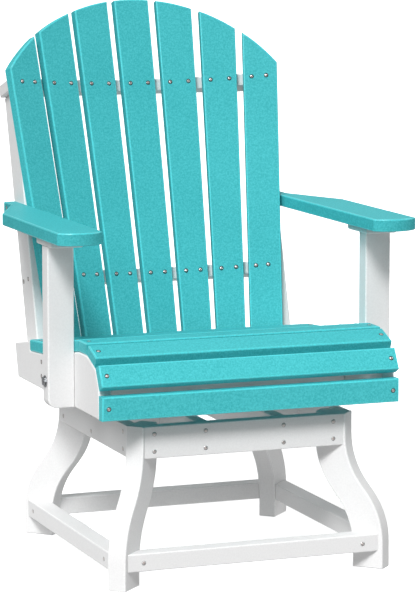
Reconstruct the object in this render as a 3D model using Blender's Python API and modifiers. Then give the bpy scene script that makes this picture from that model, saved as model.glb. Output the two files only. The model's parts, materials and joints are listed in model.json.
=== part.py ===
"""Swivel adirondack chair of poly-lumber boards.

A white base on four S-shaped legs carries a ball-bearing swivel. A seat turns on it: white side
panels under teal slats, posts with broad arms, and a reclined back of fanned slats.
Metres, +Z up. The sitter faces -Y. The pieces are placed from the centre of the base on the
floor, and at the end the chair is moved so that its origin is under the middle of its box.
Left pieces are at -X and right pieces at +X, as seen from the front.
"""
from math import asin, atan2, cos, hypot, pi, radians, sin, sqrt, tan

import bmesh
import bpy
from mathutils import Matrix, Vector

# Clearances between pieces that touch, and between pieces that turn on each other
touch_gap = 0.0003
running_gap = 0.0004
weld_distance = 0.00001
cut_overrun = 0.002

# Base: legs stand on the diagonals, and both edges of a leg are the same S
base_height = 0.305
leg_thickness = 0.038
leg_width = 0.063
leg_reach = 0.3153
leg_flare = 0.0805
leg_bend_angle = radians(38)
leg_bend_flare_share = 0.835
leg_outer_middle_share = 0.5157
leg_inner_middle_share = 0.4757
leg_bend_steps = 8

# Base: aprons at the legs' tops, stretchers at their feet, and the boards inside the aprons
apron_height = 0.063
apron_thickness = 0.026
apron_setback = 0.0045
stretcher_height = 0.035
stretcher_thickness = 0.038
stretcher_clearance = 0.036
member_spread = 0.162
member_thickness = 0.026
side_brace_y = 0.007

# Swivel: two pressed plates with raised races, a cage of balls between them, and a rivet
swivel_axis_y = 0.0224
swivel_height = 0.0235
plate_size = 0.190
plate_thickness = 0.003
plate_corner_radius = 0.012
race_radius = 0.065
race_width = 0.024
race_height = 0.004
cage_width = 0.018
cage_thickness = 0.004
ball_count = 14
pivot_radius = 0.009
pivot_head_radius = 0.016
pivot_head_height = 0.003
round_sides = 48

# Seat: panels, the boards between them, and slats all as long as the seat is wide
seat_half_width = 0.3058
panel_thickness = 0.026
seat_board_spacing = 0.1595
seat_board_thickness = 0.026
seat_board_height = 0.0712
slat_thickness = 0.0235
panel_front_y = -0.2555
front_bed_length = 0.0599
lip_bed_length = 0.0386
lip_bed_slope = radians(61)
nose_bed_length = 0.0537
nose_bed_slope = radians(20.4)
flat_bed_slope = radians(-9.6)
rear_bed_slope = radians(-4.4)
front_slat_width = 0.0465
lip_slat_width = 0.0450
nose_slat_width = 0.050
nose_slat_setback = 0.0027
crown_slat_width = 0.0492
flat_slat_width = 0.0762
flat_slat_gap = 0.004
flat_slat_count = 3
slat_joint = 0.0006
panel_step_height = 0.0197

# Posts, arm blocks and arms
post_width = 0.0535
post_depth = 0.035
post_front_y = -0.113
post_corner_radius = 0.018
corner_steps = 5
arm_block_length = 0.094
arm_block_thickness = 0.013
arm_block_lead = 0.026
arm_block_lip = 0.010
arm_thickness = 0.025
arm_top_height = 0.682
arm_overhang = 0.0103
arm_front_y = -0.2276
arm_front_bulge = 0.020
arm_front_steps = 10
arm_taper_y = 0.1487
arm_strip_y = 0.300
arm_rear_y = 0.350
arm_strip_width = 0.0262

# Bolts that hold the posts to the panels
bolt_radius = 0.004
bolt_rise = 0.052
bolt_head_radius = 0.009
bolt_head_height = 0.0045
bolt_end_length = 0.0008
bolt_sides = 24
washer_radius = 0.0115
washer_thickness = 0.0016
nut_width = 0.015
nut_thickness = 0.0032

# Back: measured along its slope from a point beside the seat, and square to it
recline = radians(16.28)
back_foot_y = 0.2367
back_foot_rise = 0.1098
back_curve_radius = 0.8064
upright_thickness = 0.026
upright_clearance = 0.0016
upright_setback = 0.0565
back_rail_thickness = 0.026
lower_rail_rise = 0.0965
upper_rail_rise = 0.499
rail_corner_radius = 0.006
rail_curve_steps = 16
back_slat_drop = 0.049
upper_rail_inset = 0.002
slat_edge_shares = (0.1223, 0.1736, 0.4162, 0.4607, 0.7002, 0.7412, 1.0000)
slat_lean_shares = (0.0100, 0.0151, 0.0368, 0.0438, 0.0653, 0.0703, 0.0775)
arch_rise = 0.3206
arch_radius_share = 1.288
arch_steps = 6

# Looks: sRGB colour, roughness, metallic
TEAL_BOARD = ("4BBCC1", 0.45, 0.0)
WHITE_BOARD = ("F2F3F3", 0.45, 0.0)
ZINC_STEEL = ("A9ADB0", 0.35, 1.0)
DARK_STEEL = ("4A4D50", 0.45, 1.0)

chair = bpy.data.collections.new("adirondack_swivel_chair")
cutters = bpy.data.collections.new("cutters")


def linear_colour(hex_colour):
    """The linear RGBA value of an sRGB hex colour."""
    channels = [int(hex_colour[i:i + 2], 16) / 255 for i in (0, 2, 4)]
    return [c / 12.92 if c <= 0.04045 else ((c + 0.055) / 1.055) ** 2.4 for c in channels] + [1]


def finish(name, look):
    """A Principled material of the piece's own."""
    hex_colour, roughness, metallic = look
    material = bpy.data.materials.new(name + "_finish")
    material.use_nodes = True
    shader = material.node_tree.nodes["Principled BSDF"]
    shader.inputs["Base Color"].default_value = linear_colour(hex_colour)
    shader.inputs["Roughness"].default_value = roughness
    shader.inputs["Metallic"].default_value = metallic
    return material


def place_on(x_axis, y_axis, origin):
    """The matrix that lays a drawing's X and Y along two directions of the chair."""
    x_axis = Vector(x_axis).normalized()
    y_axis = Vector(y_axis).normalized()
    z_axis = x_axis.cross(y_axis)
    matrix = Matrix((x_axis, y_axis, z_axis)).transposed().to_4x4()
    matrix.translation = origin
    return matrix


def add_piece(name, mesh, look, place=Matrix.Identity(4)):
    """A named piece of the chair, from its mesh in its own frame."""
    piece = bpy.data.objects.new(name, mesh)
    piece.matrix_world = place
    mesh.materials.clear()
    mesh.materials.append(finish(name, look))
    chair.objects.link(piece)
    return piece


def extruded(name, outlines, thickness):
    """The mesh of a flat drawing, given thickness to both sides; inner outlines are holes."""
    curve = bpy.data.curves.new(name, "CURVE")
    curve.dimensions = "2D"
    curve.fill_mode = "BOTH"
    curve.extrude = thickness / 2
    for outline in outlines:
        spline = curve.splines.new("POLY")
        spline.points.add(len(outline) - 1)
        spline.use_cyclic_u = True
        for point, (x, y) in zip(spline.points, outline):
            point.co = (x, y, 0, 1)
    drawing = bpy.data.objects.new(name + "_drawing", curve)
    chair.objects.link(drawing)
    evaluated = drawing.evaluated_get(bpy.context.evaluated_depsgraph_get())
    mesh = bpy.data.meshes.new_from_object(evaluated)
    bpy.data.objects.remove(drawing)
    bpy.data.curves.remove(curve)
    cleaned = bmesh.new()
    cleaned.from_mesh(mesh)
    bmesh.ops.remove_doubles(cleaned, verts=cleaned.verts, dist=weld_distance)
    bmesh.ops.recalc_face_normals(cleaned, faces=cleaned.faces)
    cleaned.to_mesh(mesh)
    cleaned.free()
    mesh.name = name
    return mesh


def board(name, outline, thickness, look, place):
    """A board cut to an outline; the outline lies in the board's middle plane."""
    return add_piece(name, extruded(name, [outline], thickness), look, place)


def plain_board(name, size, centre, look, tilt=0):
    """A square-cut board, tilted about the chair's X axis."""
    mesh = bpy.data.meshes.new(name)
    block = bmesh.new()
    bmesh.ops.create_cube(block, size=1, matrix=Matrix.Diagonal((*size, 1)))
    block.to_mesh(mesh)
    block.free()
    return add_piece(name, mesh, look, Matrix.Translation(centre) @ Matrix.Rotation(tilt, 4, "X"))


def turned(name, profile, sides, closed):
    """A turned shape about Z: its profile runs down the outer side."""
    mesh = bpy.data.meshes.new(name)
    line = bmesh.new()
    points = [line.verts.new((radius, 0, height)) for radius, height in profile]
    for first, second in zip(points, points[1:]):
        line.edges.new((first, second))
    if closed:
        line.edges.new((points[-1], points[0]))
    line.to_mesh(mesh)
    line.free()
    shape = bpy.data.objects.new(name, mesh)
    turning = shape.modifiers.new("turning", "SCREW")
    turning.angle = 2 * pi
    turning.steps = sides
    turning.render_steps = sides
    turning.use_merge_vertices = True
    turning.merge_threshold = weld_distance
    return shape


def turned_piece(name, profile, sides, look, place, closed=False):
    """A turned piece of the chair."""
    piece = turned(name, profile, sides, closed)
    piece.matrix_world = place
    piece.data.materials.append(finish(name, look))
    chair.objects.link(piece)
    return piece


def add_cutter(cutter, place):
    """A hidden shape that is cut from a piece or joined to it."""
    cutter.matrix_world = place
    cutter.hide_render = True
    cutter.display_type = "WIRE"
    cutters.objects.link(cutter)
    return cutter


def combine(piece, cutter, operation):
    """Cut a hidden shape from a piece, or join it to the piece."""
    modifier = piece.modifiers.new(cutter.name, "BOOLEAN")
    modifier.operation = operation
    modifier.object = cutter


def circle(radius, sides):
    """The corners of a round outline."""
    return [(radius * cos(2 * pi * i / sides), radius * sin(2 * pi * i / sides))
            for i in range(sides)]


def filleted(corners, steps=corner_steps):
    """An outline from (x, y, radius) corners, each rounded by an arc of its radius."""
    outline = []
    for index, (x, y, radius) in enumerate(corners):
        corner = Vector((x, y))
        if not radius:
            outline.append((x, y))
            continue
        before = (Vector(corners[index - 1][:2]) - corner).normalized()
        after = (Vector(corners[(index + 1) % len(corners)][:2]) - corner).normalized()
        half_angle = before.angle(after) / 2
        centre = corner + (before + after).normalized() * radius / sin(half_angle)
        start = corner + before * radius / tan(half_angle) - centre
        end = corner + after * radius / tan(half_angle) - centre
        turn = start.angle_signed(end)
        for step in range(steps + 1):
            spoke = start.copy()
            spoke.rotate(Matrix.Rotation(-turn * step / steps, 2))
            outline.append(tuple(centre + spoke))
    return outline


def leg_edge(top_reach, middle):
    """One edge of a leg, top to foot: upright, an arc outwards, a slope, an arc back, upright."""
    bend_radius = leg_flare * leg_bend_flare_share / (2 * (1 - cos(leg_bend_angle)))
    slope_length = leg_flare * (1 - leg_bend_flare_share) / sin(leg_bend_angle)
    half_rise = bend_radius * sin(leg_bend_angle) + slope_length * cos(leg_bend_angle) / 2
    foot_reach = top_reach + leg_flare
    angles = [leg_bend_angle * step / leg_bend_steps for step in range(leg_bend_steps + 1)]
    upper = [(top_reach + bend_radius * (1 - cos(angle)),
              middle + half_rise - bend_radius * sin(angle)) for angle in angles]
    lower = [(foot_reach - bend_radius * (1 - cos(angle)),
              middle - half_rise + bend_radius * sin(angle)) for angle in reversed(angles)]
    return [(top_reach, base_height)] + upper + lower + [(foot_reach, 0)]


def mitred_board(name, reach, height, thickness, top, turn):
    """A board between two legs, its ends mitred to the legs' flats."""
    mitre = sqrt(2) * (leg_thickness / 2 + touch_gap)
    inside = reach - thickness
    outline = [(mitre - reach, -reach), (reach - mitre, -reach),
               (inside - mitre, -inside), (mitre - inside, -inside)]
    place = Matrix.Translation((0, 0, top - height / 2)) @ Matrix.Rotation(turn, 4, "Z")
    return board(name, outline, height, WHITE_BOARD, place)


def make_base():
    """Four S-shaped legs, two rings of mitred boards, and the boards that carry the swivel."""
    outer = leg_edge(leg_reach, base_height * leg_outer_middle_share)
    inner = leg_edge(leg_reach - leg_width, base_height * leg_inner_middle_share)
    for end, y in (("front", -1), ("rear", 1)):
        for side, x in (("left", -1), ("right", 1)):
            place = place_on((x, y, 0), (0, 0, 1), (0, 0, 0))
            board(f"leg_{end}_{side}", outer + inner[::-1], leg_thickness, WHITE_BOARD, place)

    flat = leg_thickness / 2 + touch_gap
    apron_reach = (leg_reach - apron_setback + flat) / sqrt(2)
    foot_inside = leg_reach - leg_width + leg_flare
    stretcher_reach = (foot_inside + flat) / sqrt(2) + stretcher_thickness
    for quarter, side in enumerate(("front", "right", "rear", "left")):
        turn = quarter * pi / 2
        mitred_board(f"apron_{side}", apron_reach, apron_height, apron_thickness,
                     base_height, turn)
        mitred_board(f"stretcher_{side}", stretcher_reach, stretcher_height,
                     stretcher_thickness, stretcher_clearance + stretcher_height, turn)

    inside = apron_reach - apron_thickness - touch_gap
    middle_height = base_height - apron_height / 2
    brace_start = (member_spread + member_thickness) / 2 + touch_gap
    for side, x in (("left", -1), ("right", 1)):
        plain_board(f"base_member_{side}", (member_thickness, 2 * inside, apron_height),
                    (x * member_spread / 2, 0, middle_height), WHITE_BOARD)
        plain_board(f"side_brace_{side}", (inside - brace_start, member_thickness, apron_height),
                    (x * (inside + brace_start) / 2, side_brace_y, middle_height), WHITE_BOARD)


def swivel_plate(name, height, flip):
    """A square plate with a hole for the rivet and a raised ring for the balls."""
    half = plate_size / 2
    square = filleted([(x * half, y * half, plate_corner_radius)
                       for x, y in ((-1, -1), (1, -1), (1, 1), (-1, 1))])
    hole = circle(pivot_radius + running_gap, round_sides)
    place = (Matrix.Translation((0, swivel_axis_y, height))
             @ Matrix.Rotation(pi if flip else 0, 4, "X"))
    plate = add_piece(name, extruded(name, [square, hole], plate_thickness), ZINC_STEEL, place)
    outer, inner = race_radius + race_width / 2, race_radius - race_width / 2
    top = plate_thickness / 2 + race_height
    race = turned(name + "_race", [(outer, top), (outer, 0), (inner, 0), (inner, top)],
                  round_sides, closed=True)
    combine(plate, add_cutter(race, place), "UNION")


def make_swivel():
    """The bearing that the seat turns on."""
    lower = base_height + touch_gap
    upper = lower + swivel_height
    swivel_plate("swivel_lower_plate", lower + plate_thickness / 2, flip=False)
    swivel_plate("swivel_upper_plate", upper - plate_thickness / 2, flip=True)

    middle = Matrix.Translation((0, swivel_axis_y, (lower + upper) / 2))
    outer, inner = race_radius + cage_width / 2, race_radius - cage_width / 2
    half = cage_thickness / 2
    cage = turned_piece("swivel_ball_cage",
                        [(outer, half), (outer, -half), (inner, -half), (inner, half)],
                        round_sides, DARK_STEEL, middle, closed=True)
    ball_radius = swivel_height / 2 - plate_thickness - race_height - touch_gap
    mesh = bpy.data.meshes.new("swivel_balls")
    balls = bmesh.new()
    for index in range(ball_count):
        angle = 2 * pi * (index + 1 / 2) / ball_count
        seat_of_ball = Matrix.Translation((race_radius * cos(angle), race_radius * sin(angle), 0))
        bmesh.ops.create_uvsphere(balls, u_segments=10, v_segments=7, radius=ball_radius,
                                  matrix=seat_of_ball)
    balls.to_mesh(mesh)
    balls.free()
    combine(cage, add_cutter(bpy.data.objects.new("swivel_balls", mesh), middle), "UNION")

    top = upper + touch_gap
    bottom = lower - touch_gap
    turned_piece("swivel_pivot",
                 [(0, top + pivot_head_height), (pivot_head_radius, top + pivot_head_height),
                  (pivot_head_radius, top), (pivot_radius, top), (pivot_radius, bottom),
                  (pivot_head_radius, bottom), (pivot_head_radius, bottom - pivot_head_height),
                  (0, bottom - pivot_head_height)],
                 round_sides, ZINC_STEEL, Matrix.Translation((0, swivel_axis_y, 0)))


# Heights and places that the seat, its posts and its back share
seat_bottom = base_height + swivel_height + 2 * touch_gap
panel_inside = seat_half_width - panel_thickness
back_foot = Vector((0, back_foot_y, seat_bottom + back_foot_rise))
back_up = Vector((0, sin(recline), cos(recline)))
back_forward = Vector((0, -cos(recline), sin(recline)))
post_middle_y = post_front_y + post_depth / 2
bolt_height = seat_bottom + bolt_rise


def seat_bed():
    """The panels' top edge from the front: (start, slope, length) of each straight stretch."""
    flat_length = flat_slat_count * (flat_slat_width + flat_slat_gap)
    stretches = []
    point = Vector((panel_front_y, seat_bottom))
    for slope, length in ((pi / 2, front_bed_length), (lip_bed_slope, lip_bed_length),
                          (nose_bed_slope, nose_bed_length), (0, crown_slat_width + slat_joint),
                          (flat_bed_slope, flat_length),
                          (rear_bed_slope, flat_slat_width + flat_slat_gap / 2)):
        stretches.append((point, slope, length))
        point = point + Vector((cos(slope), sin(slope))) * length
    return stretches, point


def seat_slat(number, stretch, start, width):
    """A slat that lies on a stretch of the bed, from a distance along it."""
    point, slope, _ = stretch
    along = Vector((cos(slope), sin(slope)))
    square = Vector((-sin(slope), cos(slope)))
    middle = point + along * (start + width / 2) + square * (slat_thickness / 2 + touch_gap)
    plain_board(f"seat_slat_{number}", (2 * seat_half_width, width, slat_thickness),
                (0, middle.x, middle.y), TEAL_BOARD, tilt=slope)


def make_seat():
    """Side panels, the boards that carry them on the swivel, and the slats on top."""
    stretches, bed_end = seat_bed()
    front, lip, nose, crown, flat, rear = stretches
    step_top = bed_end + Vector((0, panel_step_height))
    rear_face = back_foot - back_forward * upright_setback
    lean = tan(recline)
    rear_line = rear_face.y - rear_face.z * lean
    shelf_fall = tan(flat_bed_slope)
    shelf_end_y = ((rear_line + (step_top.y - step_top.x * shelf_fall) * lean)
                   / (1 - shelf_fall * lean))
    shelf_end_z = step_top.y + (shelf_end_y - step_top.x) * shelf_fall
    outline = [tuple(point) for point, _, _ in stretches]
    outline += [tuple(bed_end), tuple(step_top), (shelf_end_y, shelf_end_z),
                (rear_line + seat_bottom * lean, seat_bottom)]

    for side, x in (("left", -1), ("right", 1)):
        place = place_on((0, 1, 0), (0, 0, 1), (x * (seat_half_width - panel_thickness / 2), 0, 0))
        panel = board(f"side_panel_{side}", outline, panel_thickness, WHITE_BOARD, place)
        combine(panel, bolt_hole(f"panel_hole_{side}", x), "DIFFERENCE")

    for end, y in (("front", -1), ("rear", 1)):
        centre = (0, swivel_axis_y + y * seat_board_spacing / 2,
                  seat_bottom + seat_board_height / 2)
        plain_board(f"seat_board_{end}", (2 * (panel_inside - touch_gap), seat_board_thickness,
                                          seat_board_height), centre, WHITE_BOARD)

    seat_slat(1, front, 0, front_slat_width)
    seat_slat(2, lip, lip_bed_length - lip_slat_width, lip_slat_width)
    seat_slat(3, nose, nose_slat_setback, nose_slat_width)
    seat_slat(4, crown, slat_joint / 2, crown_slat_width)
    for index in range(flat_slat_count):
        seat_slat(5 + index, flat, slat_joint + index * (flat_slat_width + flat_slat_gap),
                  flat_slat_width)
    seat_slat(5 + flat_slat_count, rear, 0, flat_slat_width)


def bolt_hole(name, x):
    """The cutter for a post bolt's hole through a panel and its post."""
    length = panel_thickness + post_width + 2 * cut_overrun
    radius = bolt_radius + touch_gap
    profile = [(0, length / 2), (radius, length / 2), (radius, -length / 2), (0, -length / 2)]
    middle = panel_inside + length / 2 - cut_overrun
    place = place_on((0, 1, 0), (0, 0, 1), (x * middle, post_middle_y, bolt_height))
    return add_cutter(turned(name, profile, bolt_sides, closed=False), place)


def make_posts_and_arms():
    """Posts bolted to the panels, the blocks on them, and the arms with their round fronts."""
    arm_bottom = arm_top_height - arm_thickness
    block_bottom = arm_bottom - touch_gap - arm_block_thickness
    post_top = block_bottom - touch_gap
    inside = seat_half_width + touch_gap
    outside = inside + post_width
    arm_inside = panel_inside
    arm_outside = outside + arm_overhang
    strip_outside = arm_inside + arm_strip_width
    half_width = (arm_outside - arm_inside) / 2
    front_radius = (half_width ** 2 + arm_front_bulge ** 2) / (2 * arm_front_bulge)
    half_angle = asin(half_width / front_radius)
    angles = [half_angle * (2 * step / arm_front_steps - 1)
              for step in range(arm_front_steps + 1)]
    arm_outline = [(arm_inside + half_width + front_radius * sin(angle),
                    arm_front_y + front_radius * (1 - cos(angle))) for angle in angles]
    arm_outline += [(arm_outside, arm_taper_y), (strip_outside, arm_strip_y),
                    (strip_outside, arm_rear_y), (arm_inside, arm_rear_y)]
    for side, x in (("left", -1), ("right", 1)):
        corners = [(inside, seat_bottom, 0), (outside, seat_bottom, post_corner_radius),
                   (outside, post_top, 0), (inside, post_top, 0)]
        outline = [(x * u, v) for u, v in filleted(corners)]
        place = place_on((1, 0, 0), (0, 0, 1), (0, post_middle_y, 0))
        post = board(f"post_{side}", outline, post_depth, WHITE_BOARD, place)
        combine(post, bolt_hole(f"post_hole_{side}", x), "DIFFERENCE")

        block_width = post_width + arm_block_lip
        plain_board(f"arm_block_{side}", (block_width, arm_block_length, arm_block_thickness),
                    (x * (outside - block_width / 2),
                     post_front_y - arm_block_lead + arm_block_length / 2,
                     block_bottom + arm_block_thickness / 2), WHITE_BOARD)

        board(f"arm_{side}", [(x * u, v) for u, v in arm_outline], arm_thickness, TEAL_BOARD,
              Matrix.Translation((0, 0, arm_bottom + arm_thickness / 2)))


def make_post_bolts():
    """A round-headed bolt through each panel and post, with its washer and low nut outside."""
    head = panel_inside - touch_gap
    washer_start = seat_half_width + touch_gap + post_width + touch_gap
    nut_start = washer_start + washer_thickness + touch_gap
    end = nut_start + nut_thickness + bolt_end_length
    hole = bolt_radius + touch_gap
    for side, x in (("left", -1), ("right", 1)):
        place = place_on((0, x, 0), (0, 0, 1), (0, post_middle_y, bolt_height))
        turned_piece(f"post_bolt_{side}",
                     [(0, end), (bolt_radius, end), (bolt_radius, head), (bolt_head_radius, head),
                      (bolt_head_radius * 3 / 4, head - bolt_head_height * 3 / 4),
                      (0, head - bolt_head_height)], bolt_sides, ZINC_STEEL, place)
        turned_piece(f"post_washer_{side}",
                     [(washer_radius, washer_start + washer_thickness),
                      (washer_radius, washer_start), (hole, washer_start),
                      (hole, washer_start + washer_thickness)],
                     bolt_sides, ZINC_STEEL, place, closed=True)
        hexagon = circle(nut_width / sqrt(3), 6)
        nut = extruded(f"post_nut_{side}", [hexagon, circle(hole, bolt_sides)], nut_thickness)
        add_piece(f"post_nut_{side}", nut, ZINC_STEEL,
                  place @ Matrix.Translation((0, 0, nut_start + nut_thickness / 2)))


def fan_edges():
    """Edges of the slats right of the middle: (distance at the foot, lean) of each."""
    inside = panel_inside - touch_gap - upright_thickness
    return [(share * inside, lean) for share, lean in zip(slat_edge_shares, slat_lean_shares)]


def arch_meeting(foot, lean, radius):
    """How far up the back an edge of a slat meets the arch."""
    square_term = 1 + lean ** 2
    half_term = foot * lean - arch_rise
    rest = foot ** 2 + arch_rise ** 2 - radius ** 2
    return (-half_term + sqrt(half_term ** 2 - square_term * rest)) / square_term


def back_slat(number, left, right, radius):
    """A flat slat that lies on the curved rails by its edges, its top cut to the arch."""
    def middle_at(rise):
        across = (left[0] + left[1] * rise + right[0] + right[1] * rise) / 2
        return Vector((across, rise, across ** 2 / (2 * back_curve_radius)))

    low, high = middle_at(lower_rail_rise), middle_at(upper_rail_rise)
    middle = (low + high) / 2
    up = (high - low).normalized()
    across = Vector((1, 0, middle.x / back_curve_radius))
    across = (across - up * across.dot(up)).normalized()
    outward = across.cross(up)
    half_width = (right[0] - left[0] + (right[1] - left[1]) * upper_rail_rise) / 2
    twist = abs(high.x - low.x) / 2 / back_curve_radius
    middle += outward * (half_width ** 2 / (2 * back_curve_radius) + half_width * twist)

    def drawn(x, rise):
        depth = middle.z - ((x - middle.x) * outward.x + (rise - middle.y) * outward.y) / outward.z
        offset = Vector((x, rise, depth)) - middle
        return offset.dot(across), offset.dot(up)

    foot = -back_slat_drop
    tops = [arch_meeting(*edge, radius) for edge in (left, right)]
    angles = [atan2(rise - arch_rise, edge[0] + edge[1] * rise)
              for edge, rise in zip((left, right), tops)]
    arch = [(radius * cos(angle), arch_rise + radius * sin(angle)) for angle in
            (angles[1] + (angles[0] - angles[1]) * step / arch_steps
             for step in range(arch_steps + 1))]
    outline = [drawn(left[0] + left[1] * foot, foot), drawn(right[0] + right[1] * foot, foot)]
    outline += [drawn(x, rise) for x, rise in arch]

    def in_chair(v):
        return Vector((v.x, 0, 0)) + back_up * v.y + back_forward * v.z

    centre = back_foot + in_chair(middle - outward * slat_thickness / 2)
    place = place_on(in_chair(across), in_chair(up), centre)
    board(f"back_slat_{number}", outline, slat_thickness, TEAL_BOARD, place)


def make_back():
    """Uprights inside the panels, two curved rails, and the fan of slats."""
    upright_outside = panel_inside - touch_gap
    upright_inside = upright_outside - upright_thickness
    upright_middle = (upright_inside + upright_outside) / 2
    upright_lead = upright_inside ** 2 / (2 * back_curve_radius) - slat_thickness - upright_clearance
    upright_top = upper_rail_rise - back_rail_thickness / 2 - touch_gap

    def foot_rise(forward):
        return (seat_bottom - back_foot.z - forward * sin(recline)) / cos(recline)

    outline = [(foot_rise(upright_lead), upright_lead),
               (foot_rise(-upright_setback), -upright_setback),
               (upright_top, -upright_setback), (upright_top, upright_lead)]
    for side, x in (("left", -1), ("right", 1)):
        place = place_on(back_up, back_forward, back_foot + Vector((x * upright_middle, 0, 0)))
        board(f"upright_{side}", outline, upright_thickness, WHITE_BOARD, place)

    edges = fan_edges()
    outer_foot, outer_lean = edges[-1]
    upper_half = outer_foot + outer_lean * upper_rail_rise - upper_rail_inset
    chord = 2 * upper_half / rail_curve_steps
    relief = chord ** 2 / 8 / back_curve_radius + touch_gap
    lower_half = upright_inside - touch_gap
    for name, rise, half in (("back_rail_upper", upper_rail_rise, upper_half),
                             ("back_rail_lower", lower_rail_rise, lower_half)):
        curve = []
        for step in range(rail_curve_steps + 1):
            x = half * (1 - 2 * step / rail_curve_steps)
            slats_behind = slat_thickness * hypot(1, x / back_curve_radius)
            curve.append((x, x ** 2 / (2 * back_curve_radius) - slats_behind - relief, 0))
        corner = rail_corner_radius if name == "back_rail_upper" else 0
        curve += [(-half, -upright_setback, corner), (half, -upright_setback, corner)]
        place = place_on((1, 0, 0), back_forward, back_foot + back_up * rise)
        board(name, filleted(curve), back_rail_thickness, WHITE_BOARD, place)

    arch_radius = arch_radius_share * (outer_foot + outer_lean * arch_rise)
    right_slats = list(zip(edges[1::2], edges[2::2]))
    left_slats = [((-right[0], -right[1]), (-left[0], -left[1])) for left, right in right_slats]
    centre = ((-edges[0][0], -edges[0][1]), edges[0])
    for number, (left, right) in enumerate(left_slats[::-1] + [centre] + right_slats, start=1):
        back_slat(number, left, right, arch_radius)


def centre_on_floor():
    """Move the chair so that the middle of its box is over the origin."""
    bpy.context.view_layer.update()
    graph = bpy.context.evaluated_depsgraph_get()
    corners = []
    for piece in chair.objects:
        shape = piece.evaluated_get(graph)
        corners += [shape.matrix_world @ vertex.co for vertex in shape.data.vertices]
    for axis in (0, 1):
        places = [corner[axis] for corner in corners]
        middle = (min(places) + max(places)) / 2
        for shape in [*chair.objects, *cutters.objects]:
            shape.location[axis] -= middle


def main():
    for leftover in list(bpy.data.objects):
        bpy.data.objects.remove(leftover)
    for collection in (chair, cutters):
        bpy.context.scene.collection.children.link(collection)
    make_base()
    make_swivel()
    make_seat()
    make_posts_and_arms()
    make_post_bolts()
    make_back()
    centre_on_floor()


main()
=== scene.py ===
import json
from math import pi, radians

import bmesh
import bpy
from mathutils import Matrix, Vector
from mathutils.bvhtree import BVHTree


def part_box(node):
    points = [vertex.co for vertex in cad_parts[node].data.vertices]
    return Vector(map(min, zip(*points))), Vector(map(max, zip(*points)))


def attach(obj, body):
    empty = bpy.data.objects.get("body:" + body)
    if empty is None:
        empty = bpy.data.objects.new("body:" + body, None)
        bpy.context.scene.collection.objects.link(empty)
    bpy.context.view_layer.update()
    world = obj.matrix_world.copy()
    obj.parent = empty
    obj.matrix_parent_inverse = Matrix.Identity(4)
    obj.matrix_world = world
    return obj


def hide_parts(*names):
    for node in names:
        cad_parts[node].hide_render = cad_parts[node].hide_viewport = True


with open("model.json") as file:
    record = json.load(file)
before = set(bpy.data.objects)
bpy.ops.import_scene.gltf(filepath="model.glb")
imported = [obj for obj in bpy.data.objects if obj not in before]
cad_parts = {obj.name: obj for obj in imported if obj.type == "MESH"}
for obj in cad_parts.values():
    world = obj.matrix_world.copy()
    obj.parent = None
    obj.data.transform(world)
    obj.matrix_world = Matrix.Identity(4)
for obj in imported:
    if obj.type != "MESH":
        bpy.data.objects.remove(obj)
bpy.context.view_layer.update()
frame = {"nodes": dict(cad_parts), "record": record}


# Legs: four S-shaped boards of white poly lumber, which is foamed recycled polyethylene. They are
# sawn from wide planks and routed round the outline, and stand on the diagonals of the base.
frame_board_radius = 0.003
edge_segments = 4
merge_distance = 0.00001
flat_angle = radians(0.2)
corner_angle = radians(25)
crease_angle = radians(30)
bore_reach = 0.006
# Cosines: an edge along the board has the first at least, and one through its thickness more than
# the second.
along_board = 0.8
through_board = 0.5

# The mottle and the embossing are drawn about 3 mm coarse, the finest grain that shows.
board_mottle_size = 0.0032
board_mottle_detail = 3
board_mottle_roughness = 0.6
board_mottle_span = (0.36, 0.64)
board_tone_size = 0.12
board_tone_detail = 1
board_tone_span = (0.35, 0.65)
board_tone_share = 0.12
board_skin_size = 0.0028
board_skin_detail = 2
board_skin_roughness = 0.5
board_skin_depth = 0.0002
board_skin_strength = 0.25
polyethylene_ior = 1.5
# The embossing breaks up the gloss, so the faces get a fifth of a smooth board's.
embossed_ior_level = 0.1
embossed_roughness = 0.5
routed_ior_level = 0.5
routed_roughness = 0.3
white_face_colour = "E9E9E9"
white_shade_colour = "E4E4E4"
# The routed edges' lighter colour is a painted highlight.
white_edge_painted_highlight_colour = "F6F6F6"

body_of = {node: body for body, nodes in frame["record"]["behaviour"]["bodies"].items()
           for node in nodes}


def linear(hex_colour):
    """The linear RGBA value of an sRGB hex colour."""
    channels = [int(hex_colour[i:i + 2], 16) / 255 for i in (0, 2, 4)]
    return [c / 12.92 if c <= 0.04045 else ((c + 0.055) / 1.055) ** 2.4 for c in channels] + [1]


def add_node(tree, kind, settings, links):
    """A node with its settings and with what its inputs are linked to."""
    node = tree.nodes.new(kind)
    for key, value in settings.items():
        if isinstance(key, str) and hasattr(node, key):
            setattr(node, key, value)
        else:
            node.inputs[key].default_value = value
    for key, source in links.items():
        tree.links.new(source, node.inputs[key])
    return node


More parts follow.
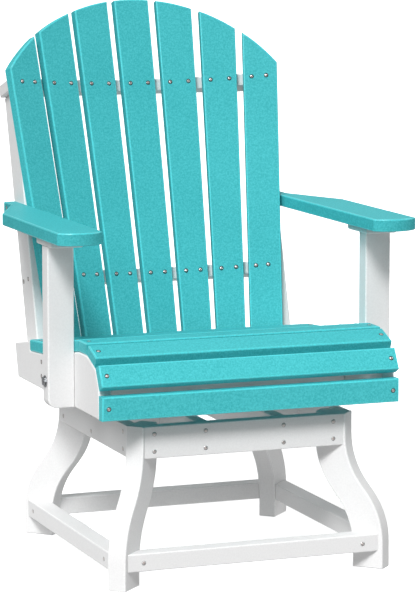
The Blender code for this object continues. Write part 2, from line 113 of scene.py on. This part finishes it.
def poly_lumber(name, face_colour, shade_colour, ior_level, gloss_roughness):
    """Through-coloured polyethylene with an embossed, faintly mottled and half-matt skin."""
    material = bpy.data.materials.new(name)
    material.use_nodes = True
    tree = material.node_tree
    place = add_node(tree, "ShaderNodeTexCoord", {}, {}).outputs["Object"]
    mottle = add_node(tree, "ShaderNodeTexNoise",
                      {"Scale": 1 / board_mottle_size, "Detail": board_mottle_detail,
                       "Roughness": board_mottle_roughness}, {"Vector": place})
    tone = add_node(tree, "ShaderNodeTexNoise",
                    {"Scale": 1 / board_tone_size, "Detail": board_tone_detail},
                    {"Vector": place})
    mottled = add_node(tree, "ShaderNodeMapRange",
                       {"From Min": board_mottle_span[0], "From Max": board_mottle_span[1]},
                       {"Value": mottle.outputs["Fac"]})
    toned = add_node(tree, "ShaderNodeMapRange",
                     {"From Min": board_tone_span[0], "From Max": board_tone_span[1]},
                     {"Value": tone.outputs["Fac"]})
    blend = add_node(tree, "ShaderNodeMix", {"data_type": "FLOAT", 0: board_tone_share},
                     {2: mottled.outputs["Result"], 3: toned.outputs["Result"]})
    colour = add_node(tree, "ShaderNodeMix",
                      {"data_type": "RGBA", 6: linear(shade_colour), 7: linear(face_colour)},
                      {0: blend.outputs[0]})
    skin = add_node(tree, "ShaderNodeTexNoise",
                    {"Scale": 1 / board_skin_size, "Detail": board_skin_detail,
                     "Roughness": board_skin_roughness}, {"Vector": place})
    bump = add_node(tree, "ShaderNodeBump",
                    {"Strength": board_skin_strength, "Distance": board_skin_depth},
                    {"Height": skin.outputs["Fac"]})
    shader = tree.nodes["Principled BSDF"]
    shader.inputs["IOR"].default_value = polyethylene_ior
    shader.inputs["Specular IOR Level"].default_value = ior_level
    shader.inputs["Roughness"].default_value = gloss_roughness
    tree.links.new(colour.outputs[2], shader.inputs["Base Color"])
    tree.links.new(bump.outputs["Normal"], shader.inputs["Normal"])
    return material


# The embossed faces look half-matt. The edges, which the router cuts smooth, shine, and their
# lighter colour is a painted highlight.
white_poly_lumber = [
    poly_lumber("white_hdpe_poly_lumber_embossed", white_face_colour, white_shade_colour,
                embossed_ior_level, embossed_roughness),
    poly_lumber("white_hdpe_poly_lumber_edge_painted_highlight", white_edge_painted_highlight_colour, white_face_colour,
                routed_ior_level, routed_roughness)]


def rounded_copy(node, radius, rounded, segments=edge_segments, bore=None):
    """The mesh of a CAD node, merged, with rounded edges.

    Rounded are "length" edges along the board, the "outline" of its broad faces, or "all" edges.
    A bore is a bolt: the edges of the hole round it stay sharp.
    """
    shape = bmesh.new()
    shape.from_mesh(frame["nodes"][node].data)
    bmesh.ops.remove_doubles(shape, verts=shape.verts, dist=merge_distance)
    bmesh.ops.dissolve_limit(shape, angle_limit=flat_angle, verts=shape.verts, edges=shape.edges)
    broad = max(shape.faces, key=lambda face: face.calc_area()).normal
    longest = max(shape.edges, key=lambda edge: edge.calc_length())
    length = (longest.verts[1].co - longest.verts[0].co).normalized()
    bore_centre = sum(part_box(bore), Vector()) / 2 if bore else None
    sharp = []
    for edge in shape.edges:
        run = (edge.verts[1].co - edge.verts[0].co).normalized()
        if edge.calc_face_angle(0) < corner_angle:
            continue
        if rounded == "length" and abs(run.dot(length)) < along_board:
            continue
        if rounded == "outline" and abs(run.dot(broad)) > through_board:
            continue
        if bore and all((vert.co - bore_centre).yz.length < bore_reach for vert in edge.verts):
            continue
        sharp.append(edge)
    rounding = bmesh.ops.bevel(shape, geom=sharp, offset=radius, offset_type="OFFSET",
                               segments=segments, profile=0.5, affect="EDGES", material=-1,
                               clamp_overlap=True)
    # The rounded faces take the second finish, which on the boards carries a painted highlight.
    for face in rounding["faces"]:
        face.material_index = 1
    for face in shape.faces:
        face.smooth = True
    for edge in shape.edges:
        edge.smooth = edge.calc_face_angle(0) < crease_angle
    mesh = bpy.data.meshes.new(node + "_rounded")
    shape.to_mesh(mesh)
    shape.free()
    return mesh


def show(node, mesh, finish):
    """Shows a mesh, with its face and edge finish, for a CAD node, riding on its body.

    On the boards the edge finish is lighter, a painted highlight.
    """
    piece = bpy.data.objects.new(mesh.name, mesh)
    bpy.context.scene.collection.objects.link(piece)
    for part_finish in finish:
        mesh.materials.append(part_finish)
    flattened = piece.modifiers.new("even_shading", "WEIGHTED_NORMAL")
    flattened.keep_sharp = True
    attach(piece, body_of[node])
    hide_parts(node)
    return piece


for leg in ("leg_front_left", "leg_front_right", "leg_rear_left", "leg_rear_right"):
    show(leg, rounded_copy(leg, frame_board_radius, "outline"), white_poly_lumber)


# Aprons and stretchers: eight white poly-lumber boards, cut to length with mitred ends that meet
# the legs' flats. Their long edges come rounded from the mill, and the cut ends are crisp.
ring_board_radius = 0.0025
ring_boards = {}
for side in ("front", "right", "rear", "left"):
    for board in (f"apron_{side}", f"stretcher_{side}"):
        ring_boards[board] = show(board, rounded_copy(board, ring_board_radius, "length"),
                                  white_poly_lumber)


# Swivel carriers: two white boards from front to back inside the aprons, and a brace from each
# to the side apron. The swivel's lower plate is screwed to their tops.
for board in ("base_member_left", "base_member_right", "side_brace_left", "side_brace_right"):
    show(board, rounded_copy(board, ring_board_radius, "length"),
         white_poly_lumber)


# Base screws: low-headed wood screws of stainless steel with a square drive. They go through the
# aprons and stretchers into the legs and the carriers, and each head sits in a grey ring of painted
# shade.
screw_seat_radius = 0.0046
screw_head_radius = 0.0031
screw_head_sides = 20
screw_seat_height = 0.0001
screw_rim_height = 0.0003
screw_rim_inset = 0.0001
screw_dome_steps = ((0.0003, 0.0002), (0.0005, 0.0002), (0.0006, 0.0001))
screw_drive_inset = 0.0005
screw_drive_half = 0.0010
screw_drive_depth = 0.0006
screw_drive_taper = 0.0001
screw_smooth_rise = 0.2
white_ring_painted_shade_colour = "B4B6B6"
grain_detail = 2
ring_grain_size = 0.001
ring_roughness_span = (0.6, 0.85)
stainless_colour = "DAD2CF"
stainless_brushing_size = 0.0012
stainless_roughness_span = (0.22, 0.36)
base_screw_rows = (0.290, 0.256)
base_screw_span = 0.186
base_carrier_span = 0.081
side_brace_offset = 0.007
stretcher_screw_height = 0.053
stretcher_screw_span = 0.227
screw_line_reach = 1.0


def grained_finish(name, colour, metallic, grain_size, roughness_span):
    """A finish of one colour, with a faint grain that breaks up its shine."""
    material = bpy.data.materials.new(name)
    material.use_nodes = True
    tree = material.node_tree
    place = add_node(tree, "ShaderNodeTexCoord", {}, {}).outputs["Object"]
    grain = add_node(tree, "ShaderNodeTexNoise",
                     {"Scale": 1 / grain_size, "Detail": grain_detail}, {"Vector": place})
    roughness = add_node(tree, "ShaderNodeMapRange",
                         {"To Min": roughness_span[0], "To Max": roughness_span[1]},
                         {"Value": grain.outputs["Fac"]})
    shader = tree.nodes["Principled BSDF"]
    shader.inputs["Base Color"].default_value = linear(colour)
    shader.inputs["Metallic"].default_value = metallic
    tree.links.new(roughness.outputs["Result"], shader.inputs["Roughness"])
    return material


def screw_head():
    """The mesh of one screw head in a flat ring of painted shade, at the origin, its drive facing
    +Z.
    """
    head = bmesh.new()
    bmesh.ops.create_circle(head, cap_ends=True, radius=screw_seat_radius,
                            segments=screw_head_sides)
    top = max(head.faces, key=lambda face: face.calc_area())
    if top.normal.z < 0:
        top.normal_flip()
    rim = bmesh.ops.extrude_discrete_faces(head, faces=[top])["faces"][0]
    bmesh.ops.translate(head, verts=rim.verts, vec=(0, 0, screw_seat_height))
    bmesh.ops.inset_individual(head, faces=[rim], depth=0,
                               thickness=screw_seat_radius - screw_head_radius)
    # The flat ring round the head takes the second finish, which is painted shade.
    for face in head.faces:
        face.material_index = 1
    rim.material_index = 0
    bmesh.ops.inset_individual(head, faces=[rim], thickness=screw_rim_inset,
                               depth=screw_rim_height)
    for inwards, upwards in screw_dome_steps:
        bmesh.ops.inset_individual(head, faces=[rim], thickness=inwards, depth=upwards)
    bmesh.ops.inset_individual(head, faces=[rim], thickness=screw_drive_inset, depth=0)
    for vert in rim.verts:
        vert.co.xy *= screw_drive_half / max(abs(vert.co.x), abs(vert.co.y))
    bmesh.ops.inset_individual(head, faces=[rim], thickness=screw_drive_taper,
                               depth=-screw_drive_depth)
    for face in head.faces:
        face.smooth = face.normal.z > screw_smooth_rise
    mesh = bpy.data.meshes.new("screw_head")
    head.to_mesh(mesh)
    head.free()
    return mesh


def add_screws(name, body, boards, lines, painted_shade_ring_finish):
    """Screw heads where lines from outside meet the boards, as one piece."""
    graph = bpy.context.evaluated_depsgraph_get()
    trees = [BVHTree.FromObject(board, graph) for board in boards]
    head = screw_head()
    heads = bmesh.new()
    for target, direction in lines:
        direction = Vector(direction).normalized()
        start = Vector(target) - direction * screw_line_reach
        hits = [tree.ray_cast(start, direction) for tree in trees]
        point, outward, _, _ = min((hit for hit in hits if hit[0]), key=lambda hit: hit[3])
        placed = head.copy()
        placed.transform(Matrix.Translation(point) @ outward.to_track_quat("Z", "Y").to_matrix()
                         .to_4x4())
        heads.from_mesh(placed)
        bpy.data.meshes.remove(placed)
    bpy.data.meshes.remove(head)
    mesh = bpy.data.meshes.new(name)
    heads.to_mesh(mesh)
    heads.free()
    mesh.materials.append(stainless_steel)
    mesh.materials.append(painted_shade_ring_finish)
    piece = bpy.data.objects.new(name, mesh)
    bpy.context.scene.collection.objects.link(piece)
    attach(piece, body)


def ring_painted_shade_finish(name, colour):
    """A flat ring round a screw's head, coloured as the painted shade of its drilled seat."""
    return grained_finish(name, colour, 0, ring_grain_size, ring_roughness_span)


# Stainless steel gives small, warm grey glints, and the rings of painted shade round the heads stay
# dull.
stainless_steel = grained_finish("stainless_steel_screw_head", stainless_colour, 1,
                                 stainless_brushing_size, stainless_roughness_span)
white_ring_painted_shade = ring_painted_shade_finish("white_poly_lumber_ring_painted_shade", white_ring_painted_shade_colour)
base_centre_y = (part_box("leg_front_left")[0].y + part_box("leg_rear_left")[1].y) / 2
base_lines = []
for height in base_screw_rows:
    for along in (-base_screw_span, -base_carrier_span, base_carrier_span, base_screw_span):
        for inwards in (-1, 1):
            base_lines.append(((along, base_centre_y, height), (0, inwards, 0)))
    for along in (-base_screw_span, side_brace_offset, base_screw_span):
        for inwards in (-1, 1):
            base_lines.append(((0, base_centre_y + along, height), (inwards, 0, 0)))
for along in (-stretcher_screw_span, stretcher_screw_span):
    for inwards in (-1, 1):
        base_lines.append(((along, base_centre_y, stretcher_screw_height), (0, inwards, 0)))
        base_lines.append(((0, base_centre_y + along, stretcher_screw_height), (inwards, 0, 0)))
add_screws("base_screws", "base", ring_boards.values(), base_lines, white_ring_painted_shade)


# Swivel: two pressed plates of zinc-plated steel with raised races, balls in a dark steel cage
# between them, and a rivet through the middle that holds them together.
plate_edge_radius = 0.0006
cage_edge_radius = 0.0004
metal_edge_segments = 2
zinc_colour = "B9BDC0"
zinc_spangle_size = 0.004
zinc_roughness_span = (0.28, 0.48)
cage_colour = "4A4D50"
cage_grain_size = 0.002
cage_roughness_span = (0.35, 0.55)

# Zinc plating looks pale with a soft, uneven shine, and the oiled cage is darker and duller.
zinc_plated_steel = grained_finish("zinc_plated_steel", zinc_colour, 1, zinc_spangle_size,
                                   zinc_roughness_span)
dark_oiled_steel = grained_finish("dark_oiled_steel", cage_colour, 1, cage_grain_size,
                                  cage_roughness_span)
for plate in ("swivel_lower_plate", "swivel_upper_plate", "swivel_pivot"):
    show(plate, rounded_copy(plate, plate_edge_radius, "all", metal_edge_segments),
         [zinc_plated_steel] * 2)
show("swivel_ball_cage",
     rounded_copy("swivel_ball_cage", cage_edge_radius, "all", metal_edge_segments),
     [dark_oiled_steel] * 2)


# Seat frame: a white side panel on each side, sawn to the seat's curve and routed round, and two
# boards across between them that stand on the swivel's upper plate.
seat_panels = {}
for side in ("left", "right"):
    panel = f"side_panel_{side}"
    seat_panels[side] = show(panel, rounded_copy(panel, frame_board_radius, "outline",
                                                 bore=f"post_bolt_{side}"),
                             white_poly_lumber)
for board in ("seat_board_front", "seat_board_rear"):
    show(board, rounded_copy(board, ring_board_radius, "length"),
         white_poly_lumber)


# Seat slats: eight teal poly-lumber slats as wide as the seat, which follow the panels' curve.
# Their edges are routed round, and the two in front are coloured a shade lighter, which is painted
# light.
slat_radius = 0.003
teal_face_colour = "50C2C8"
teal_shade_colour = "3BABB1"
# The routed edges' lighter teal is a painted highlight.
teal_edge_painted_highlight_colour = "50D9DF"
# The two front slats are coloured lighter as painted light, and their edges lighter still as a
# painted highlight.
front_painted_light_face_colour = "54CAD0"
front_painted_light_shade_colour = "3EB2B8"
front_painted_light_highlight_colour = "52DEE4"
front_painted_light_slats = ("seat_slat_1", "seat_slat_2")
seat_slat_count = 8
seat_screw_span = 0.293
teal_ring_painted_shade_colour = "2A3031"

# The same board, coloured teal right through.
teal_poly_lumber = [
    poly_lumber("teal_hdpe_poly_lumber_embossed", teal_face_colour, teal_shade_colour,
                embossed_ior_level, embossed_roughness),
    poly_lumber("teal_hdpe_poly_lumber_edge_painted_highlight", teal_edge_painted_highlight_colour, teal_face_colour,
                routed_ior_level, routed_roughness)]
teal_front_painted_light_poly_lumber = [
    poly_lumber("teal_front_painted_light_hdpe_poly_lumber_embossed", front_painted_light_face_colour,
                front_painted_light_shade_colour, embossed_ior_level, embossed_roughness),
    poly_lumber("teal_front_painted_light_hdpe_poly_lumber_edge_highlight", front_painted_light_highlight_colour,
                front_painted_light_face_colour, routed_ior_level, routed_roughness)]
# Round the heads in the teal boards, a dark ring of painted shade.
teal_ring_painted_shade = ring_painted_shade_finish("teal_poly_lumber_ring_painted_shade", teal_ring_painted_shade_colour)
seat_slats = []
seat_lines = []
for number in range(1, seat_slat_count + 1):
    slat = f"seat_slat_{number}"
    finish = teal_front_painted_light_poly_lumber if slat in front_painted_light_slats else teal_poly_lumber
    piece = show(slat, rounded_copy(slat, slat_radius, "outline"), finish)
    seat_slats.append(piece)
    broad_faces = sorted(piece.data.polygons, key=lambda face: face.area)[-2:]
    outward = max((face.normal for face in broad_faces), key=lambda normal: normal.z - normal.y)
    centre = sum(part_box(slat), Vector()) / 2
    for across in (-seat_screw_span, seat_screw_span):
        seat_lines.append(((across, centre.y, centre.z), -outward))
add_screws("seat_slat_screws", "seat", seat_slats, seat_lines, teal_ring_painted_shade)


# Panel screws: stainless wood screws that hold the panels to the ends of the two seat boards.
# The rings of painted shade round their heads are darker than the base's.
shaded_seat_colour = "3C3E3F"
panel_screw_rows = (0.385, 0.356)
panel_lines = []
for board in ("seat_board_front", "seat_board_rear"):
    board_middle = sum(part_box(board), Vector()) / 2
    for height in panel_screw_rows:
        for inwards in (-1, 1):
            panel_lines.append(((0, board_middle.y, height), (inwards, 0, 0)))
shaded_seat = ring_painted_shade_finish("shaded_drilled_poly_lumber", shaded_seat_colour)
add_screws("panel_screws", "seat", seat_panels.values(), panel_lines, shaded_seat)


# Posts: a white poly-lumber post outside each panel, its lower outer corner sawn round, and a
# short white block on its top that spreads the arm's load.
block_radius = 0.003
for side in ("left", "right"):
    post = f"post_{side}"
    show(post, rounded_copy(post, frame_board_radius, "outline", bore=f"post_bolt_{side}"),
         white_poly_lumber)
    block = f"arm_block_{side}"
    show(block, rounded_copy(block, block_radius, "outline"), white_poly_lumber)


# Post bolts: a round-headed bolt of zinc-plated steel through each panel and post, with a washer
# and a low hexagon nut on the outside. Their plating is a little duller than the swivel's.
fastener_edge_radius = 0.0003
dull_zinc_colour = "A3A5A7"

dull_zinc_steel = grained_finish("dull_zinc_plated_steel", dull_zinc_colour, 1,
                                 zinc_spangle_size, zinc_roughness_span)
for side in ("left", "right"):
    for fastener in (f"post_bolt_{side}", f"post_washer_{side}", f"post_nut_{side}"):
        show(fastener,
             rounded_copy(fastener, fastener_edge_radius, "all", metal_edge_segments),
             [dull_zinc_steel] * 2)


# Arms: broad teal poly-lumber arms that run from in front of the posts back to the uprights,
# narrowing to a strip. Their outline is sawn and routed on both faces.
arm_radius = 0.003
arm_screw_height = 0.671
arm_screw_inset = 0.018
arms = {}
arm_lines = []
for side, inwards in (("left", 1), ("right", -1)):
    arm = f"arm_{side}"
    arms[side] = show(arm, rounded_copy(arm, arm_radius, "outline"),
                      teal_poly_lumber)
    arm_rear_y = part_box(arm)[1].y
    arm_lines.append(((0, arm_rear_y - arm_screw_inset, arm_screw_height), (inwards, 0, 0)))
add_screws("arm_screws", "seat", arms.values(), arm_lines, teal_ring_painted_shade)


# Back frame: two white uprights inside the panels, reclined, and an upper and a lower rail whose
# front edges are sawn to the hollow curve that the slats lie on. Two screws go through each
# upright into the lower rail.
back_tilt = radians(16.28)
back_foot = Vector((0, 0.15892, 0.4389))
lower_rail_rise = 0.0965
upright_screw_setbacks = (0.0082, 0.0408)
back_up = Matrix.Rotation(-back_tilt, 3, "X") @ Vector((0, 0, 1))
back_inwards = Matrix.Rotation(-back_tilt, 3, "X") @ Vector((0, 1, 0))
back_frame = {board: show(board, rounded_copy(board, frame_board_radius, "outline"),
                          white_poly_lumber)
              for board in ("upright_left", "upright_right", "back_rail_upper",
                            "back_rail_lower")}
upright_lines = [(back_foot + back_up * lower_rail_rise + back_inwards * setback, (inwards, 0, 0))
                 for setback in upright_screw_setbacks for inwards in (-1, 1)]
# Their heads sit in the same dark rings of painted shade as the panel screws'.
add_screws("upright_screws", "seat", [back_frame["upright_left"], back_frame["upright_right"]],
           upright_lines, shaded_seat)


# Back slats: seven teal poly-lumber slats in a fan, each screwed twice to each rail. Their tops
# are sawn to one arch and routed.
back_slat_count = 7
upper_screw_rise = 0.4987
upper_screw_places = (0.0195, 0.0680, 0.1075, 0.1546, 0.1939, 0.2397, 0.2694)
lower_screw_rise = 0.0963
lower_screw_places = (0.0158, 0.0619, 0.0927, 0.1373, 0.1682, 0.2095, 0.2341)
back_slats = []
for number in range(1, back_slat_count + 1):
    slat = f"back_slat_{number}"
    back_slats.append(show(slat, rounded_copy(slat, slat_radius, "outline"),
                           teal_poly_lumber))
back_lines = []
for rise, places in ((upper_screw_rise, upper_screw_places),
                     (lower_screw_rise, lower_screw_places)):
    for across in places:
        for side in (-1, 1):
            target = back_foot + back_up * rise + Vector((side * across, 0, 0))
            back_lines.append((target, back_inwards))
add_screws("back_slat_screws", "seat", back_slats, back_lines, teal_ring_painted_shade)


# Floor: a plain pale studio floor that runs past the view on every side. It glows a little, so that
# it stays white, but neither lights the chair nor shows in its gloss.
floor_half = 60
floor_colour = "EDEDED"
floor_roughness = 0.8
floor_glow = 0.85
floor_shape = bmesh.new()
bmesh.ops.create_grid(floor_shape, x_segments=1, y_segments=1, size=floor_half)
floor_mesh = bpy.data.meshes.new("studio_floor")
floor_shape.to_mesh(floor_mesh)
floor_shape.free()
floor = bpy.data.objects.new("studio_floor", floor_mesh)
bpy.context.scene.collection.objects.link(floor)
floor_paint = bpy.data.materials.new("matt_white_floor_paint")
floor_paint.use_nodes = True
floor_shader = floor_paint.node_tree.nodes["Principled BSDF"]
floor_shader.inputs["Base Color"].default_value = linear(floor_colour)
floor_shader.inputs["Roughness"].default_value = floor_roughness
floor_shader.inputs["Emission Color"].default_value = linear(floor_colour)
floor_shader.inputs["Emission Strength"].default_value = floor_glow
floor_mesh.materials.append(floor_paint)
floor.visible_diffuse = False
floor.visible_glossy = False


# Light: a pale surround that darkens downwards, a large key light from the front left, weaker ones
# from the left, the right and behind, and what the white floor round the chair throws back.
surround_low_strength = 0
surround_high_strength = 0.18
bounce_radius = 2.5
bounce_strength = 0.603
bounce_lift = 0.001

# Each light's strength, and in degrees its width, its azimuth from the front, which is negative on
# the left, and its elevation.
soft_lights = {"key_light": (0.82, 15, -33, 45),
               "left_light": (0.311, 30, -60, 35),
               "right_light": (0.239, 40, 80, 30),
               "back_light": (0.17, 60, 165, 42),
               "back_left_light": (0.08, 40, -135, 28)}

surround = bpy.data.worlds.new("pale_surround")
surround.use_nodes = True
surround.node_tree.nodes["Background"].inputs["Color"].default_value = linear("FFFFFF")
direction = add_node(surround.node_tree, "ShaderNodeTexCoord", {}, {}).outputs["Object"]
height = add_node(surround.node_tree, "ShaderNodeSeparateXYZ", {}, {"Vector": direction})
brightness = add_node(surround.node_tree, "ShaderNodeMapRange",
                      {"From Min": -1, "From Max": 1, "To Min": surround_low_strength,
                       "To Max": surround_high_strength}, {"Value": height.outputs["Z"]})
surround.node_tree.links.new(brightness.outputs["Result"],
                             surround.node_tree.nodes["Background"].inputs["Strength"])
bpy.context.scene.world = surround

for name, (strength, spread, azimuth, elevation) in soft_lights.items():
    light = bpy.data.lights.new(name, "SUN")
    light.energy = strength * pi
    light.angle = radians(spread)
    lamp = bpy.data.objects.new(name, light)
    lamp.rotation_euler = (radians(90 - elevation), 0, radians(azimuth))
    bpy.context.scene.collection.objects.link(lamp)

# A disc just over the floor stands for the light that the floor throws back.
bounce = bpy.data.lights.new("floor_bounce", "AREA")
bounce.shape = "DISK"
bounce.size = 2 * bounce_radius
bounce.energy = bounce_strength * (pi * bounce_radius) ** 2
bounce_lamp = bpy.data.objects.new("floor_bounce", bounce)
bounce_lamp.location = (0, 0, bounce_lift)
bounce_lamp.rotation_euler = (pi, 0, 0)
bounce_lamp.visible_camera = False
bpy.context.scene.collection.objects.link(bounce_lamp)


# Camera: a long lens from the photograph's side, a little to the left of the front and higher than
# the chair. Its place and lens were fitted to the photograph.
camera_place = Vector((-2.0202, -5.4470, 1.3345))
camera_azimuth = radians(-20.731)
camera_elevation = radians(8.127)
camera_lens = 176.05
sensor_height = 36

lens = bpy.data.cameras.new("studio_camera")
lens.lens = camera_lens
lens.sensor_fit = "VERTICAL"
lens.sensor_height = sensor_height
camera = bpy.data.objects.new("studio_camera", lens)
camera.location = camera_place
camera.rotation_euler = (pi / 2 - camera_elevation, 0, camera_azimuth)
bpy.context.scene.collection.objects.link(camera)
bpy.context.scene.camera = camera
bpy.context.scene.view_settings.view_transform = "Standard"
bpy.context.scene.view_settings.look = "None"
